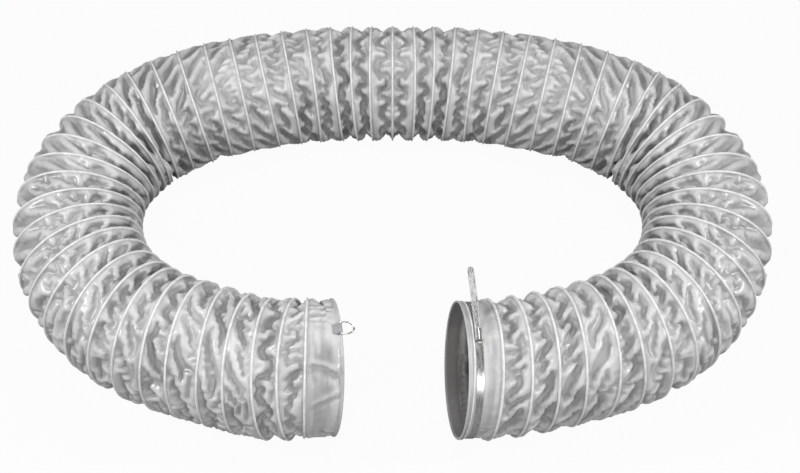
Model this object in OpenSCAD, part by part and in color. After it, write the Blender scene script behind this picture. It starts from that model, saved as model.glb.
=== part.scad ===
// Flexible air duct, lying in a C with both mouths to the front.
// Origin: on the floor, under the middle of the bounding box. +Z up, mouths towards -Y.

/* [Duct] */
// Inner diameter of the end cuffs, which is the pipe size that the duct fits
bore_d = 300; // [240:5:400]
// Thickness of the coated fabric, with its seams
fabric_t = 1.5; // [1:0.1:2.5]
// Height of a rib over the slack fabric between two ribs
rib_h = 10; // [4:1:16]
// Distance from one rib to the next along the middle of the duct
rib_pitch = 60; // [50:1:80]
// Lean of the ribs at the back: how far the wire runs on, from the middle of a rib to its top
back_lean = 13; // [0:1:20]
// Lean of the ribs at the front, where the turns have tipped further over
front_lean = 24; // [0:1:28]
// Number of flat sides that stand for the round of the fabric
sides = 15; // [12:1:16]

/* [Sections] */
// Ribs on the middle section, at the back of the C
middle_ribs = 5; // [3:2:7]
// Ribs on each bending section
bend_ribs = 5; // [4:1:6]
// Ribs on each arm section, which folds up or pulls out
arm_ribs = 3; // [2:1:5]
// Ribs on each neck, between an arm and its cuff
neck_ribs = 2; // [2:1:3]
// Bend of the middle section, in degrees
middle_bend = 7; // [0:1:20]
// Bend of the first section from the back, in degrees
bend_1 = 15; // [5:1:40]
// Bend of the second section from the back, in degrees
bend_2 = 33; // [5:1:40]
// Bend of the third section from the back, in degrees
bend_3 = 38; // [5:1:45]
// Bend of the fourth section from the back, in degrees
bend_4 = 31; // [5:1:45]
// Bend of the fifth section from the back, in degrees
bend_5 = 38; // [5:1:45]
// Bend of the left arm, in degrees
left_arm_bend = 2; // [0:1:15]
// Bend of the right arm, in degrees
right_arm_bend = 8; // [0:1:15]
// Bend of the left neck, which turns the left mouth inwards, in degrees
left_neck_bend = 28; // [0:1:35]
// Bend of the right neck, in degrees
right_neck_bend = 8; // [0:1:35]
// Gap between the end of one section and the start of the next
section_gap = 0.3; // [0.1:0.1:1]

/* [Cuffs] */
// Length of the plain left cuff
left_cuff_len = 65; // [45:1:120]
// Length of the right cuff, which the clamp goes round
right_cuff_len = 52; // [48:1:120]
// Slope of the left mouth: 0 level, more faces up, in degrees
left_slope = -7.5; // [-9:0.5:9]
// Slope of the right mouth, in degrees
right_slope = 5.5; // [-9:0.5:9]
// Diameter of the spring wire rings in the hems
rim_wire_d = 3; // [2:0.5:5]
// Diameter of a covered wire ring on the outside of a cuff
cover_wire_d = 3; // [2:0.1:5]
// Play round the wire in its hem
hem_play = 0.1; // [0.05:0.05:0.3]
// Distance from the left cuff's root to the wire ring round it
left_ring_at = 8; // [5:1:20]
// Distance from the right mouth to the closing turn of its wire
right_ring_at = 10.5; // [10:0.5:12]
// Lean of the closing turn, which comes near the hem below, in degrees
right_ring_lean = 1.5; // [0:0.1:1.6]

/* [Clamp] */
// Width of the clamp's band
band_w = 15; // [10:0.5:18]
// Thickness of the clamp's band
band_t = 0.8; // [0.6:0.1:1.2]
// Gap between the band and what it lies on
band_gap = 0.2; // [0.1:0.05:0.5]
// Distance from the right mouth to the middle of the band
band_at = 26; // [22:1:30]
// Place of the screw housing round the cuff: 0 outwards, 90 on top
clamp_angle = 77; // [40:1:100]
// Length of the screw housing
housing_len = 26; // [20:1:34]
// Thickness of the housing's sheet
housing_t = 1.2; // [1:0.1:1.6]
// Free length of the band's tail beyond the housing
tail_len = 118; // [60:1:160]
// Distance from the housing's front to the start of the tail inside it
tail_in = 11; // [11:0.1:12]
// Step from one slot in the band to the next
slot_step = 3.2; // [2.5:0.1:4]
// Length of a slot, across the band
slot_len = 8; // [5:0.5:9]
// Lean of the slots, in degrees
slot_lean = 8; // [0:1:12]
// Diameter of the worm
worm_d = 7.6; // [6:0.1:9]
// Play between the worm's journals and the housing
journal_play = 0.06; // [0.02:0.01:0.1]
// Hexagon of the screw head, across flats
head_af = 8; // [7:0.5:10]
// Length of the screw head
head_len = 7; // [5:0.5:9]

/* [Tie rings] */
// Inner width of a D-ring, which is its webbing's width
dring_w = 25; // [20:1:32]
// Diameter of the D-ring's wire
dring_wire_d = 3; // [2:0.5:4]
// Reach of the D-ring's bow from its bar
dring_reach = 22; // [18:1:30]
// Play between the D-ring's bar and its webbing loop
loop_play = 0.08; // [0.03:0.01:0.1]
// Thickness of the webbing
webbing_t = 1.4; // [1:0.1:2]
// Length of the webbing tab that is sewn on the cuff
tab_len = 30; // [20:1:40]
// Place of the upper D-ring round the left cuff: 0 outwards, 90 on top
upper_ring_angle = 80; // [60:1:100]
// Place of the lower D-ring round the left cuff
lower_ring_angle = 205; // [170:1:230]
// Diameter of the rivet head below the clamp
rivet_d = 7; // [5:0.5:9]
// Height of the rivet head
rivet_h = 2; // [1:0.5:3]
// Place of the rivet round the right cuff
rivet_angle = -26; // [-40:1:-10]
// Distance from the right mouth to the rivet
rivet_at = 14.5; // [14:0.5:15]

/* [Hidden] */
$fn = 96;

over = 1;                                       // how far a cut runs past what it cuts
rest_cut = 0.5;                                 // depth of the flat where a rib lies on the floor
floor_play = 0.2;                               // height of the hems over the floor
bore_r = bore_d / 2;
cuff_r = bore_r + fabric_t;                     // outside of a plain cuff
hem_r = rim_wire_d / 2 + hem_play + fabric_t / 2;
hem_ring_r = bore_r + hem_r;                    // middle of the hem's wire
hem_out_r = hem_ring_r + hem_r;
ring_r = cuff_r + band_gap + cover_wire_d / 2;   // middle of a wire ring round a cuff
axis_h = max(hem_out_r, ring_r + cover_wire_d / 2) + floor_play;    // height of the duct's middle line
corner = 1 / cos(180 / sides);                  // corner radius of a polygon over its flat
crest_r = (axis_h + rest_cut) * corner;         // corner radius at the top of a rib
slack_r = crest_r - rib_h;                      // the same between two ribs
fade_len = 5 * rib_pitch;                       // length over which the lean comes in
neck_len = neck_ribs * rib_pitch;               // length over which it goes into the mouth's slope

// One half of the duct, from the middle of the back to a cuff. side is -1 on the left, 1 on the right.
half_ribs = [middle_ribs / 2, bend_ribs, bend_ribs, bend_ribs, bend_ribs, bend_ribs, arm_ribs, neck_ribs];
function half_bends(side) = [
    middle_bend / 2, bend_1, bend_2, bend_3, bend_4, bend_5,
    side < 0 ? left_arm_bend : right_arm_bend,
    side < 0 ? left_neck_bend : right_neck_bend
];
function total(v, n) = n <= 0 ? 0 : v[n - 1] + total(v, n - 1);
lens = [for (ribs = half_ribs) ribs * rib_pitch];
starts = [for (i = [0:len(lens)]) total(lens, i)];
half_len = starts[len(lens)];
bends = [half_bends(-1), half_bends(1)];
function side_index(side) = side < 0 ? 0 : 1;
headings = [for (b = bends) [for (i = [0:len(b)]) total(b, i)]];

// Point reached from p after a run of length l that starts at heading h and turns by b
function run(p, h, l, b) =
    abs(b) < 0.001
        ? p + l * [cos(h), -sin(h)]
        : p + l / (b * PI / 180) * [sin(h + b) - sin(h), cos(h + b) - cos(h)];
function corner_point(k, i) =
    i == 0 ? [0, 0] : run(corner_point(k, i - 1), headings[k][i - 1], lens[i - 1], bends[k][i - 1]);
corners = [for (k = [0, 1]) [for (i = [0:len(lens)]) corner_point(k, i)]];

// Which stretch holds the distance s from the middle of the back
function stretch(s, i = 0) = i >= len(lens) - 1 || s < starts[i + 1] ? i : stretch(s, i + 1);
function part_turn(k, s, i) = bends[k][i] * (s - starts[i]) / lens[i];
function heading(side, s) =
    let (k = side_index(side), i = stretch(s)) headings[k][i] + part_turn(k, s, i);
function half_point(side, s) =
    let (k = side_index(side), i = stretch(s))
    run(corners[k][i], headings[k][i], s - starts[i], part_turn(k, s, i));

// Box of the whole path, so that the origin lies under the middle of it
path_y = [for (k = [-1, 1]) for (f = [0:0.02:1]) half_point(k, f * half_len)[1]];
function cuff_len(side) = side < 0 ? left_cuff_len : right_cuff_len;
function end_heading(side) = heading(side, half_len);
function end_dir(side) = [side * cos(end_heading(side)), -sin(end_heading(side)), 0];
function end_slope(side) = side < 0 ? left_slope : right_slope;
function ring_along(side) = side < 0 ? left_ring_at : right_cuff_len - right_ring_at;
// Height of the middle of a cuff's root: a mouth that faces down lifts it off the floor
function root_h(side) =
    let (up = sin(end_slope(side)), level = cos(end_slope(side)))
    floor_play + max(
        axis_h - floor_play,
        hem_ring_r * level + hem_r - (cuff_len(side) - hem_r) * up,
        ring_r * level + cover_wire_d / 2 - ring_along(side) * up
    );
function end_point(side) =
    let (p = half_point(side, half_len)) [side * p[0], p[1] + shift_y, root_h(side)];
shift_y = -(max(path_y) + min(path_y)) / 2;

// Point of the duct at signed distance g from the back, offset n outwards and z upwards
function place(g, n, z) =
    let (side = g < 0 ? -1 : 1, s = abs(g), h = heading(side, s), p = half_point(side, s))
    [side * (p[0] + n * sin(h)), p[1] + n * cos(h) + shift_y, axis_h + z];

// How far a rib is drawn along the duct at offset (n, z): the wound wire runs on by
// a quarter of its step on the top at the back, outside at the ends of the C, and
// back on the top at the front
function smooth(x) = let (c = min(max(x, 0), 1)) c * c * (3 - 2 * c);
function end_share(s) = smooth((s - half_len + neck_len) / neck_len);
function lean(s) =
    (back_lean + (front_lean - back_lean) * s / half_len) * smooth(s / fade_len) * (1 - end_share(s));
function draw(g, n, z) =
    let (s = abs(g), h = heading(g < 0 ? -1 : 1, s))
    (g < 0 ? -1 : 1) * lean(s) / crest_r * (z * cos(h) + n * sin(h));

// How far a neck's ring is moved at height z, so that its last one lies in the sloped cuff's root
function tip(g, z) =
    let (side = g < 0 ? -1 : 1, s = abs(g), h = heading(side, s), share = end_share(s))
    -share * z * tan(end_slope(side)) * [side * cos(h), -sin(h), 0]
    + [0, 0, share * (root_h(side) - axis_h)];

// One ring of fabric corners with corner radius r at distance g along the duct
function ring(g, r) = [
    for (i = [0:sides - 1])
        let (a = (i + 0.5) * 360 / sides - 90, n = r * cos(a), z = r * sin(a))
        place(g + draw(g, n, z), n, z) + tip(g, z)
];

// Fabric between distances g0 and g1 with a number of ribs, as one closed shell.
// Rows go out along the outside and back along the inside.
function row_at(g0, g1, ribs, i) =
    i == 0 ? g0 + section_gap / 2 : i == 2 * ribs ? g1 - section_gap / 2 : g0 + i * (g1 - g0) / (2 * ribs);
function row_r(i) = i % 2 == 1 ? crest_r : slack_r;
function shell_rows(g0, g1, ribs) =
    concat(
        [for (i = [0:2 * ribs]) [row_at(g0, g1, ribs, i), row_r(i)]],
        [for (i = [2 * ribs:-1:0]) [row_at(g0, g1, ribs, i), row_r(i) - fabric_t]]
    );
module shell(g0, g1, ribs) {
    rows = shell_rows(g0, g1, ribs);
    count = len(rows);
    points = [for (row = rows) each ring(row[0], row[1])];
    faces = [
        for (j = [0:count - 1])
            for (i = [0:sides - 1])
                let (
                    a = j * sides + i,
                    b = j * sides + (i + 1) % sides,
                    c = (j + 1) % count * sides + (i + 1) % sides,
                    d = (j + 1) % count * sides + i
                )
                each j < 2 * ribs ? [[a, b, c], [a, c, d]] : [[a, b, d], [b, c, d]]
    ];
    difference() {
        polyhedron(points, faces);
        translate([-5 * half_len, -5 * half_len, -2 * bore_d])
            cube([10 * half_len, 10 * half_len, 2 * bore_d]);
    }
}
// Section number i of one half, counted from the back
module section(side, i) {
    color(i % 2 == 0 ? "lightgray" : "silver")
        if (side < 0) shell(-starts[i + 1], -starts[i], half_ribs[i]);
        else shell(starts[i], starts[i + 1], half_ribs[i]);
}
module middle_section() {
    color("silver") shell(-starts[1], starts[1], middle_ribs);
}

// Frame of a cuff: Z out of the mouth from the cuff's root, X straight out of the wall at angle a
module on_cuff(side, along, a) {
    d = end_dir(side);
    up = end_slope(side);
    translate(end_point(side) + along * [cos(up) * d[0], cos(up) * d[1], sin(up)])
        rotate([0, 0, atan2(d[1], d[0])])
            rotate([0, 90 - end_slope(side), 0])
                rotate([0, 0, side * (90 + a)])
                    children();
}

// A plain sleeve whose mouth is hemmed round a ring of wire
module cuff(side) {
    length = cuff_len(side);
    on_cuff(side, 0, 0)
        difference() {
            union() {
                cylinder(h = length - hem_r, r = cuff_r);
                translate([0, 0, length - hem_r])
                    rotate_extrude()
                        translate([hem_ring_r, 0])
                            circle(r = hem_r);
            }
            translate([0, 0, -over]) cylinder(h = length + 2 * over, r = bore_r);
            translate([0, 0, length - hem_r]) wire_ring(hem_ring_r, rim_wire_d / 2 + hem_play);
        }
}
module wire_ring(middle_r, wire_r) {
    rotate_extrude()
        translate([middle_r, 0])
            circle(r = wire_r);
}
module rim_wire(side) {
    on_cuff(side, cuff_len(side) - hem_r, 0) wire_ring(hem_ring_r, rim_wire_d / 2);
}

// Webbing tab, sewn on the cuff and looped round the bar of its D-ring at the hem
bar_r = dring_wire_d / 2;
loop_in_r = bar_r + loop_play;
loop_out_r = loop_in_r + webbing_t;
bar_x = hem_out_r + floor_play + loop_out_r;            // bar's middle, over the hem
bar_z = left_cuff_len - hem_r;
module tab(a) {
    flat_x = cuff_r + band_gap;
    on_cuff(-1, 0, a)
        difference() {
            union() {
                translate([flat_x, -dring_w / 2, bar_z - hem_r - floor_play - tab_len])
                    cube([2 * webbing_t, dring_w, tab_len]);
                translate([flat_x, -dring_w / 2, bar_z - hem_r - floor_play - webbing_t])
                    cube([bar_x - flat_x, dring_w, webbing_t]);
                translate([bar_x - webbing_t, -dring_w / 2, bar_z - hem_r - floor_play - webbing_t])
                    cube([2 * webbing_t, dring_w, hem_r + floor_play + webbing_t]);
                translate([bar_x, dring_w / 2, bar_z])
                    rotate([90, 0, 0])
                        cylinder(h = dring_w, r = loop_out_r);
            }
            translate([0, 0, -over]) cylinder(h = left_cuff_len, r = cuff_r + band_gap);
            translate([bar_x, dring_w / 2 + over, bar_z])
                rotate([90, 0, 0])
                    cylinder(h = dring_w + 2 * over, r = loop_in_r);
        }
}
// D-ring of round wire: a bar in the webbing loop and a bow that reaches out of it
module d_ring(a) {
    bow_r = dring_w / 2 + 2 * bar_r;
    leg = dring_reach - bow_r;
    on_cuff(-1, 0, a)
        translate([bar_x, 0, bar_z])
            rotate([90, 0, 0]) {
                translate([0, 0, -bow_r]) cylinder(h = 2 * bow_r, r = bar_r);
                for (end = [-1, 1])
                    translate([0, 0, end * bow_r]) {
                        sphere(r = bar_r);
                        rotate([-90, 0, 0]) cylinder(h = leg, r = bar_r);
                    }
                translate([0, leg, 0])
                    rotate([0, -90, 0])
                        rotate_extrude(angle = 180)
                            translate([bow_r, 0])
                                circle(r = bar_r);
            }
}

// Worm clamp on the right cuff. Its frame has Z along the cuff and X straight out of it.
band_in_r = cuff_r + band_gap;
band_out_r = band_in_r + band_t;
tail_x = band_out_r + band_gap;                         // underside of the tail
worm_x = tail_x + band_t + band_gap + worm_d / 2;       // middle of the screw
band_z = right_cuff_len - band_at;
thread_h = 0.9;                                         // throw of the worm's round thread
shaft_r = worm_d / 2 - 1.2;
slot_w = 0.45 * slot_step;
collar_t = 1.2;                                         // flange under the screw's head
collar_r = 0.62 * head_af;
drive_w = 1.2;                                          // driver slot in the screw's head
drive_deep = 1.6;
module on_clamp() {
    on_cuff(1, band_z, clamp_angle) children();
}
module slot() {
    rotate([0, 0, slot_lean]) cube([slot_w, slot_len, 4 * band_t], center = true);
}
slot_angle = slot_step / band_out_r * 180 / PI;
first_slot = 8;                                         // first and last slot round the cuff,
last_slot = 31;                                         // counted from under the housing
module band_ring() {
    on_clamp()
        difference() {
            translate([0, 0, -band_w / 2]) cylinder(h = band_w, r = band_out_r);
            translate([0, 0, -band_w / 2 - over]) cylinder(h = band_w + 2 * over, r = band_in_r);
            for (i = [first_slot:last_slot])
                rotate([0, 0, -i * slot_angle])
                    translate([band_out_r, 0, 0])
                        rotate([0, 90, 0]) rotate([0, 0, 90]) slot();
        }
}
// Free end of the band, straight out of the housing
module tail() {
    whole = housing_len + tail_len - tail_in;
    slots = floor((whole - band_w) / slot_step);
    on_clamp()
        translate([tail_x, -housing_len / 2 + tail_in, 0])
            difference() {
                union() {
                    translate([0, 0, -band_w / 2])
                        cube([band_t, whole - band_w / 2, band_w]);
                    translate([0, whole - band_w / 2, 0])
                        rotate([0, 90, 0]) cylinder(h = band_t, r = band_w / 2);
                }
                for (i = [1:slots])
                    translate([band_t / 2, i * slot_step, 0])
                        rotate([0, 90, 0]) rotate([0, 0, 90]) slot();
            }
}
// Saddle of folded sheet over the worm, with a journal wall at each end
module housing() {
    inner_w = band_w + 2 * band_gap;
    outer_w = inner_w + 2 * housing_t;
    round_r = worm_d / 2 + band_gap + housing_t;
    on_clamp()
        difference() {
            union() {
                translate([band_out_r + band_gap / 2, -housing_len / 2, -outer_w / 2])
                    cube([worm_x - band_out_r, housing_len, outer_w]);
                translate([worm_x, housing_len / 2, 0])
                    rotate([90, 0, 0]) cylinder(h = housing_len, r = round_r);
            }
            translate([0, -housing_len, -inner_w / 2])
                cube([tail_x + band_t + band_gap, 2 * housing_len, inner_w]);
            translate([worm_x, housing_len / 2 - housing_t, 0])
                rotate([90, 0, 0]) cylinder(h = housing_len - 2 * housing_t, r = worm_d / 2 + band_gap);
            translate([worm_x - worm_d / 2, -housing_len / 2 + housing_t, -worm_d / 2 - band_gap])
                cube([worm_d / 2, housing_len - 2 * housing_t, worm_d + 2 * band_gap]);
            translate([worm_x, housing_len / 2 + over, 0])
                rotate([90, 0, 0]) cylinder(h = housing_len + 2 * over, r = shaft_r + journal_play);
        }
}
// Worm, journals and slotted hexagon head, on one shaft
module screw() {
    worm_len = housing_len - 2 * housing_t - 2 * band_gap;
    turns = floor(worm_len / slot_step);
    on_clamp()
        translate([worm_x, 0, 0])
            rotate([90, 0, 0]) {
                translate([0, 0, -housing_len / 2 - over]) cylinder(h = housing_len + 2 * over, r = shaft_r);
                translate([0, 0, -worm_len / 2])
                    linear_extrude(height = worm_len, twist = -360 * turns, slices = 8 * turns, $fn = 12)
                        translate([thread_h, 0]) circle(r = worm_d / 2 - thread_h, $fn = 12);
                translate([0, 0, housing_len / 2 + band_gap])
                    cylinder(h = collar_t, r = collar_r);
                translate([0, 0, housing_len / 2 + band_gap])
                    difference() {
                        cylinder(h = head_len, r = head_af / 2 / cos(30), $fn = 6);
                        translate([-head_af, -drive_w / 2, head_len - drive_deep])
                            cube([2 * head_af, drive_w, 2 * drive_deep]);
                    }
            }
}
module rivet() {
    on_cuff(1, right_cuff_len - rivet_at, rivet_angle)
        translate([cuff_r + band_gap / 2, 0, 0])
            rotate([0, 90, 0])
                rotate_extrude()
                    difference() {
                        translate([0, rivet_h - rivet_d / 2]) intersection() {
                            circle(r = rivet_d / 2);
                            square([rivet_d / 2, rivet_d / 2]);
                        }
                        translate([0, -rivet_d]) square([rivet_d, rivet_d]);
                    }
}

section(-1, 7);  // hose_left_neck
section(-1, 6);  // hose_left_arm
section(-1, 5);  // hose_left_5
section(-1, 4);  // hose_left_4
section(-1, 3);  // hose_left_3
section(-1, 2);  // hose_left_2
section(-1, 1);  // hose_left_1
middle_section();  // hose_middle
section(1, 1);  // hose_right_1
section(1, 2);  // hose_right_2
section(1, 3);  // hose_right_3
section(1, 4);  // hose_right_4
section(1, 5);  // hose_right_5
section(1, 6);  // hose_right_arm
section(1, 7);  // hose_right_neck
color("lightgray") cuff(-1);  // left_cuff
color("gray") rim_wire(-1);  // left_rim_wire
color("whitesmoke") on_cuff(-1, left_ring_at, 0)  // left_cuff_wire
        wire_ring(ring_r, cover_wire_d / 2);
color("darkgray") tab(upper_ring_angle);  // upper_tab
color("silver") d_ring(upper_ring_angle);  // upper_d_ring
color("darkgray") tab(lower_ring_angle);  // lower_tab
color("silver") d_ring(lower_ring_angle);  // lower_d_ring
color("lightgray") cuff(1);  // right_cuff
color("gray") rim_wire(1);  // right_rim_wire
color("whitesmoke") on_cuff(1, right_cuff_len - right_ring_at, 0) rotate([-right_ring_lean, 0, 0])  // right_end_wire
        wire_ring(ring_r, cover_wire_d / 2);
color("gainsboro") rivet();  // right_rivet
color("silver") band_ring();  // clamp_band
color("silver") housing();  // clamp_housing
color("gainsboro") screw();  // clamp_screw
color("silver") tail();  // clamp_tail
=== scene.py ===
# Flexible air duct on its spring, lying in a C: crumpled coated fabric between the turns of a covered wire
import math

import bmesh
import bpy
import numpy as np
from mathutils import Matrix


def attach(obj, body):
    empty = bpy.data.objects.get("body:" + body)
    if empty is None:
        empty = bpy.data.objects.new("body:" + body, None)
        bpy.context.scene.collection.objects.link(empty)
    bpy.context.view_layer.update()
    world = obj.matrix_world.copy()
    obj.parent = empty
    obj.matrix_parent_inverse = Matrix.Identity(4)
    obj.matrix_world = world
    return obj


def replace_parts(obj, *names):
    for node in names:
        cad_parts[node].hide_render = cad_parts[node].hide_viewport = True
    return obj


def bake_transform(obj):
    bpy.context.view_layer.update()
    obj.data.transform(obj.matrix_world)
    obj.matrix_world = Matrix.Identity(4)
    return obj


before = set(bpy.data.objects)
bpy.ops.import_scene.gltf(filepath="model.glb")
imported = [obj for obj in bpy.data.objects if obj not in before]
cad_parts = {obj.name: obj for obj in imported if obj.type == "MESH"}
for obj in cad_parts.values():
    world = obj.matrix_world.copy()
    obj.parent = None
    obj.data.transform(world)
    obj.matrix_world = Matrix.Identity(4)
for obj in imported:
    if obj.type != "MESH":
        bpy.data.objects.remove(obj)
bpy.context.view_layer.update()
print("frame loaded")

millimetre = 0.001
waveBand = 0.314  # how far apart a Wave texture's bands stand at scale 1


def linearColour(hexText):
    # each sRGB channel c goes to c/12.92 below 0.04045 and to ((c + 0.055) / 1.055) to the power 2.4 above it
    channels = np.array([int(hexText[i:i + 2], 16) / 255 for i in (1, 3, 5)])
    linear = np.where(channels <= 0.04045, channels / 12.92, ((channels + 0.055) / 1.055) ** 2.4)
    return (*[float(c) for c in linear], 1.0)


def linkInputs(tree, node, links):
    for name, output in links.items():
        tree.links.new(output, node.inputs[name])


def addNode(tree, kind, settings=None, values=None, links=None):
    node = tree.nodes.new(kind)
    for name, value in (settings or {}).items():
        setattr(node, name, value)
    for name, value in (values or {}).items():
        node.inputs[name].default_value = value
    linkInputs(tree, node, links or {})
    return node


def newMaterial(name, hexText, roughness, metallic=0.0):
    material = bpy.data.materials.new(name)
    material.use_nodes = True
    tree = material.node_tree
    shader = tree.nodes["Principled BSDF"]
    shader.inputs["Base Color"].default_value = linearColour(hexText)
    shader.inputs["Roughness"].default_value = roughness
    shader.inputs["Metallic"].default_value = metallic
    return material, tree, shader


def colourRamp(tree, factor, stops):
    # stops are (place, hex colour)
    ramp = addNode(tree, "ShaderNodeValToRGB", links={"Fac": factor})
    elements = ramp.color_ramp.elements
    for (place, hexText), element in zip(stops, elements):
        element.position, element.color = place, linearColour(hexText)
    for place, hexText in stops[len(elements):]:
        elements.new(place).color = linearColour(hexText)
    return ramp.outputs["Color"]


def addBump(tree, strength, depth, height, under=None):
    # a bump in the surface, laid over another one where there is one
    links = {"Height": height}
    if under is not None:
        links["Normal"] = under
    bump = addNode(tree, "ShaderNodeBump", None, {"Strength": strength, "Distance": depth}, links)
    return bump.outputs["Normal"]


def addRoughness(tree, noise, low, high):
    # noise from 0.3 to 0.7 gives a roughness from low to high
    values = {"From Min": 0.3, "From Max": 0.7, "To Min": low, "To Max": high}
    return addNode(tree, "ShaderNodeMapRange", None, values, {"Value": noise}).outputs["Result"]


def smooth(x):
    # 3x^2 - 2x^3 between 0 and 1
    c = np.clip(x, 0, 1)
    return c * c * (3 - 2 * c)


def placed(name, data):
    # an object in the scene for a mesh, a lamp or a camera
    thing = bpy.data.objects.new(name, data)
    bpy.context.scene.collection.objects.link(thing)
    return thing


def gridMesh(name, grid, materials, faceMaterial=None, uv=None, closeRows=True, fold=None, turned=False):
    # grid is rows x columns x 3 in millimetres, closed round its columns, and round its rows where closeRows;
    # turned lists the corners of each face the other way round, where the faces would point inwards
    rows, columns = grid.shape[:2]
    index = np.arange(rows * columns).reshape(rows, columns)
    lower = index if closeRows else index[:-1]
    upper = np.roll(index, -1, 0) if closeRows else index[1:]
    order = [0, 3, 2, 1] if turned else [0, 1, 2, 3]
    quads = np.stack([lower, np.roll(lower, -1, 1), np.roll(upper, -1, 1), upper], -1)[..., order]
    quads = quads.reshape(-1, 4)
    mesh = bpy.data.meshes.new(name)
    mesh.vertices.add(rows * columns)
    mesh.vertices.foreach_set("co", (grid * millimetre).astype(np.float32).ravel())
    mesh.loops.add(quads.size)
    mesh.loops.foreach_set("vertex_index", quads.astype(np.int32).ravel())
    mesh.polygons.add(len(quads))
    mesh.polygons.foreach_set("loop_start", np.arange(0, quads.size, 4, dtype=np.int32))
    mesh.polygons.foreach_set("use_smooth", np.ones(len(quads), bool))
    for material in materials:
        mesh.materials.append(material)
    if faceMaterial is not None:
        mesh.polygons.foreach_set("material_index", np.repeat(faceMaterial, columns).astype(np.int32))
    if uv is not None:
        # the last column's faces end at the full turn, so that the pattern doesn't run back there
        u, v = uv
        nextU = np.append(u[1:], u[-1] + (u[-1] - u[-2]))
        nextV = np.append(v[1:], v[-1]) if closeRows else v[1:]
        v = v[:len(lower)]
        corners = np.zeros((len(lower), columns, 4, 2), np.float32)
        corners[..., 0] = np.stack([u, nextU, nextU, u], -1)
        corners[..., 1] = np.stack([v, v, nextV, nextV], -1)[:, None]
        layer = mesh.uv_layers.new(name="ClothUV")
        layer.data.foreach_set("uv", corners[:, :, order].ravel())
    if fold is not None:
        attribute = mesh.attributes.new("fold", "FLOAT", "POINT")
        attribute.data.foreach_set("value", fold.astype(np.float32).ravel())
    mesh.update()
    mesh.validate()
    return placed(name, mesh)


# Woven polyester with a silver-grey polyurethane coat: half-gloss, so that each fold catches a soft light
fabricLook = {
    "roughness": 0.30, "gloss": (0.27, 0.38), "patch": 0.11, "crease": 0.018, "creaseDepth": 0.0014,
    "threadSpacing": 0.0022, "threadDepth": 0.0002,
}


def coatedCloth(name, light, middle, dark):
    # the attribute fold paints highlight on the cloth's ridges and shade in its creases, over random patches
    # of tone in the coat
    material, tree, shader = newMaterial(name, light, fabricLook["roughness"])
    place = addNode(tree, "ShaderNodeTexCoord").outputs["Object"]
    clothUv = addNode(tree, "ShaderNodeUVMap", {"uv_map": "ClothUV"}).outputs["UV"]
    noise = {"Scale": 1 / fabricLook["patch"], "Detail": 4.0, "Roughness": 0.6}
    patch = addNode(tree, "ShaderNodeTexNoise", None, noise, {"Vector": place}).outputs["Fac"]
    fold = addNode(tree, "ShaderNodeAttribute", {"attribute_name": "fold"}).outputs["Fac"]
    mixed = addNode(tree, "ShaderNodeMath", {"operation": "MULTIPLY_ADD"}, {1: 0.5}, {0: patch, 2: fold})
    # painted shade and highlight: dark in the creases and light on the ridges as fold sets it, mixed with
    # random patches of tone
    colour = colourRamp(tree, mixed.outputs["Value"], [(0.26, dark), (0.50, middle), (0.74, light)])
    gloss = addRoughness(tree, patch, *fabricLook["gloss"])
    # fine creases of cloth that has been folded up and pulled out
    ridged = {"Scale": 1 / fabricLook["crease"] * 0.7, "Detail": 3.0, "Roughness": 0.45, "Distortion": 0.6}
    kind = {"noise_type": "RIDGED_MULTIFRACTAL"}
    crease = addNode(tree, "ShaderNodeTexNoise", kind, ridged, {"Vector": place}).outputs["Fac"]
    creased = addBump(tree, 0.25, fabricLook["creaseDepth"], crease)
    # the thread of the weave, drawn coarse enough to show
    weave = addNode(tree, "ShaderNodeTexWave", {"wave_type": "BANDS", "bands_direction": "X"},
                    {"Scale": waveBand / fabricLook["threadSpacing"], "Distortion": 0.4}, {"Vector": clothUv})
    woven = addBump(tree, 0.10, fabricLook["threadDepth"], weave.outputs["Fac"], creased)
    linkInputs(tree, shader, {"Base Color": colour, "Roughness": gloss, "Normal": woven})
    return material


clothMaterial = coatedCloth("silverGreyCoatedPolyester", "#CECECE", "#B3B3B3", "#7E7E7F")
# The same cloth for the inside of the duct, painted darker as the shade that falls there
shadedInsideMaterial = coatedCloth("shadedInsideOfCoatedPolyester", "#A9A8A7", "#939291", "#6F6E6D")


def pipingMaterial():
    # Extruded soft PVC over the spring wire: a clean pale strip, half-gloss
    material, tree, shader = newMaterial("paleSoftPvcPiping", "#D9D9D9", 0.34)
    place = addNode(tree, "ShaderNodeTexCoord").outputs["Object"]
    wear = addNode(tree, "ShaderNodeTexNoise", None, {"Scale": 60.0, "Detail": 3.0}, {"Vector": place})
    colour = colourRamp(tree, wear.outputs["Fac"], [(0.35, "#CDCDCD"), (0.6, "#DEDEDE")])
    worn = addBump(tree, 0.15, 0.0004, wear.outputs["Fac"])
    linkInputs(tree, shader, {"Base Color": colour, "Normal": worn})
    return material


coverMaterial = pipingMaterial()


def platedSteel(name, light, dark, roughness, grain, direction):
    # Rolled steel strip, zinc or nickel plated: a clear metal with faint lines along the way it was rolled
    material, tree, shader = newMaterial(name, light, roughness, 1.0)
    place = addNode(tree, "ShaderNodeTexCoord").outputs["Object"]
    stretched = addNode(tree, "ShaderNodeMapping", None, {"Scale": direction}, {"Vector": place})
    noise = {"Scale": 1 / grain, "Detail": 3.0, "Roughness": 0.6}
    lines = addNode(tree, "ShaderNodeTexNoise", None, noise, {"Vector": stretched.outputs["Vector"]})
    colour = colourRamp(tree, lines.outputs["Fac"], [(0.3, dark), (0.65, light)])
    rough = addRoughness(tree, lines.outputs["Fac"], roughness - 0.06, roughness + 0.08)
    rolled = addBump(tree, 0.12, 0.0002, lines.outputs["Fac"])
    linkInputs(tree, shader, {"Base Color": colour, "Roughness": rough, "Normal": rolled})
    return material


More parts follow.
